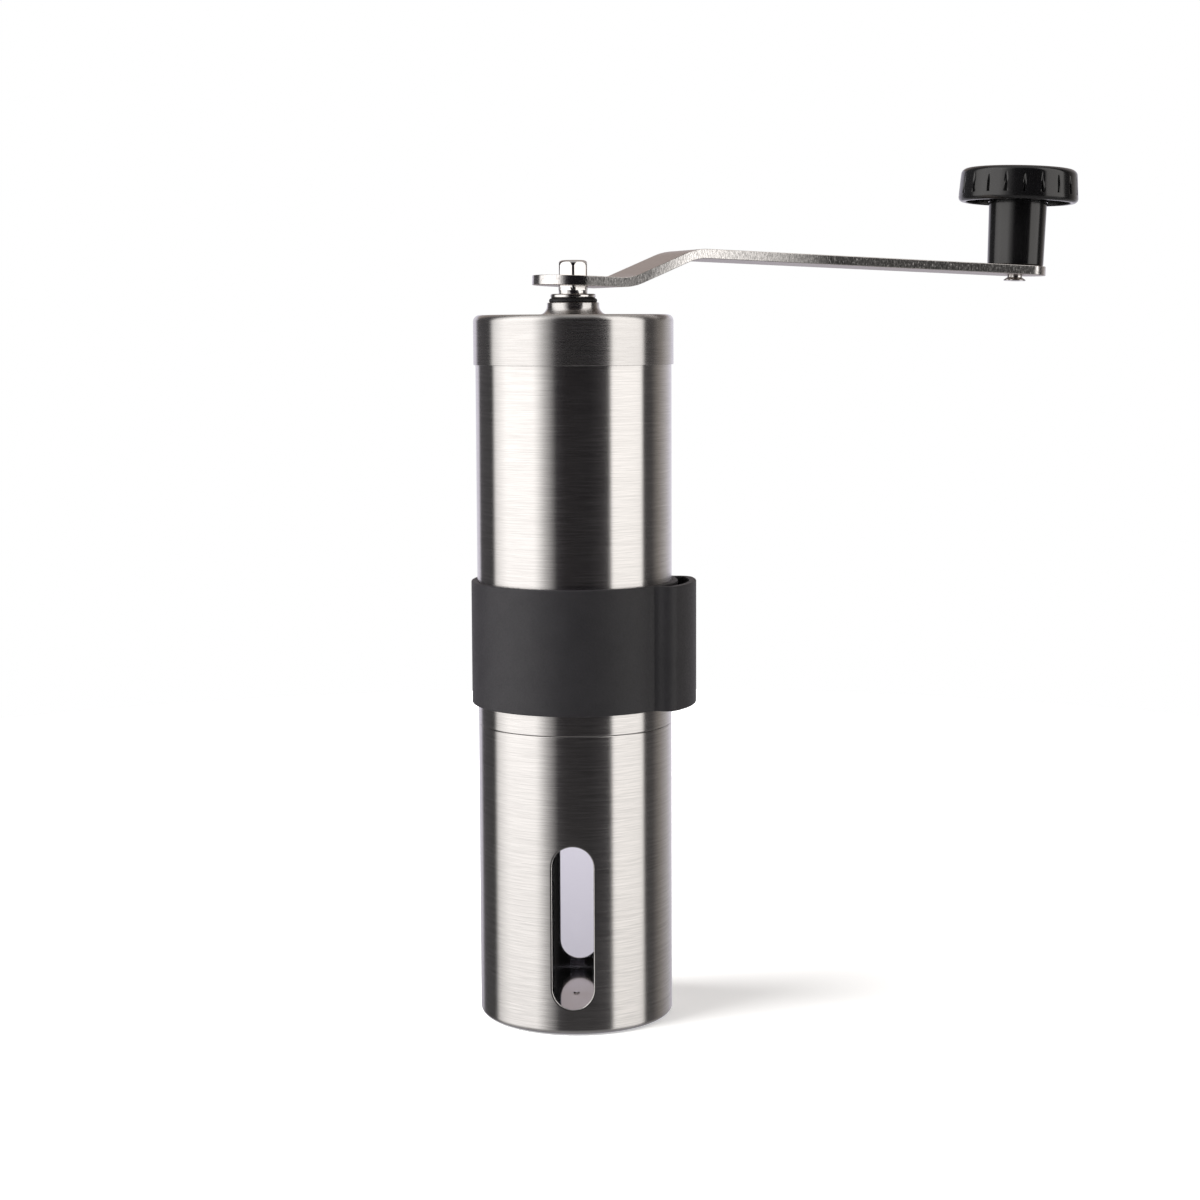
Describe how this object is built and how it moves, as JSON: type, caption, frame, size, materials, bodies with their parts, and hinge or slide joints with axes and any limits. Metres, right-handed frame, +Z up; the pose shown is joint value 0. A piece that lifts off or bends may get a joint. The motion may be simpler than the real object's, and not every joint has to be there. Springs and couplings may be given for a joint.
{
  "type": "hand crank coffee grinder",
  "caption": "Slim steel hand grinder for coffee: lidded hopper tube, conical ceramic burrs, windowed cup, rubber grip band and a lift-off crank with a knob.",
  "frame": {"origin": "centre of the ring the cup stands on, on the surface below it", "axes": "+Z up along the body and the drive shaft; the two cup windows face -Y and +Y; the crank at rest points 24 degrees from +X towards +Y"},
  "size_m": [0.1568, 0.0926, 0.2117],
  "materials": {
    "steel_body": "fine lines brushed round the tube",
    "steel_inner": "plain satin",
    "clear_liner": "clear plastic, glossy",
    "black_plastic": "moulded, matt",
    "bushing_plastic": "moulded, matt",
    "burr_ceramic": "fired, unglazed",
    "small_steel": "plain",
    "band_rubber": "matt, smooth",
    "polished_steel": "polished",
    "seal_rubber": "matt",
    "insert_brass": "turned",
    "arm_steel": "satin faces, blanked edges",
    "knob_plastic": "moulded, glossy"
  },
  "bodies": {
    "cup": {"cup_shell": "steel_body", "window_liner": "clear_liner"},
    "grinder": {"hopper_tube": "steel_body", "joint_collar": "steel_inner", "upper_bracket": "black_plastic", "upper_bushing": "bushing_plastic", "burr_housing": "black_plastic", "lower_bushing": "bushing_plastic", "outer_burr": "burr_ceramic", "burr_retainer": "steel_inner", "retainer_screws": "small_steel", "grip_band": "band_rubber"},
    "drive": {"drive_shaft": "polished_steel", "shaft_o_ring": "seal_rubber", "thrust_washer": "small_steel", "retaining_clip": "small_steel", "spring_washer": "small_steel", "burr_spring": "small_steel"},
    "burr": {"inner_burr": "burr_ceramic", "burr_carrier": "black_plastic"},
    "adjuster": {"adjust_dial": "black_plastic", "dial_insert": "insert_brass"},
    "lid": {"hopper_lid": "steel_body"},
    "crank": {"crank_arm": "arm_steel", "knob_pin": "polished_steel"},
    "knob": {"knob_stem": "knob_plastic", "knob_cap": "knob_plastic"}
  },
  "joints": [
    {"name": "body_lift", "type": "slide", "parent": "cup", "child": "grinder", "axis": [0, 0, 1], "range_m": [0, 0.04]},
    {"name": "drive_spin", "type": "hinge", "parent": "grinder", "child": "drive", "pos_m": [0, 0, 0.12], "axis": [0, 0, 1], "continuous": true},
    {"name": "burr_drop", "type": "slide", "parent": "drive", "child": "burr", "axis": [0, 0, 1], "range_m": [-0.00125, 0], "deforming": ["burr_spring"]},
    {"name": "adjust_turn", "type": "hinge", "parent": "burr", "child": "adjuster", "pos_m": [0, 0, 0.055], "axis": [0, 0, -1], "range_deg": [0, 540]},
    {"name": "lid_lift", "type": "slide", "parent": "grinder", "child": "lid", "axis": [0, 0, 1], "range_m": [0, 0.03]},
    {"name": "crank_lift", "type": "slide", "parent": "drive", "child": "crank", "axis": [0, 0, 1], "range_m": [0, 0.03]},
    {"name": "knob_spin", "type": "hinge", "parent": "crank", "child": "knob", "pos_m": [0.11511, 0.05125, 0.18474], "axis": [0.0335, 0.0149, 0.9993], "continuous": true}
  ],
  "couplings": [
    {"joint": "burr_drop", "follows": "adjust_turn", "m_per_rad": -0.00012732},
    {"joint": "crank_lift", "follows": "lid_lift", "ratio": 1}
  ]
}
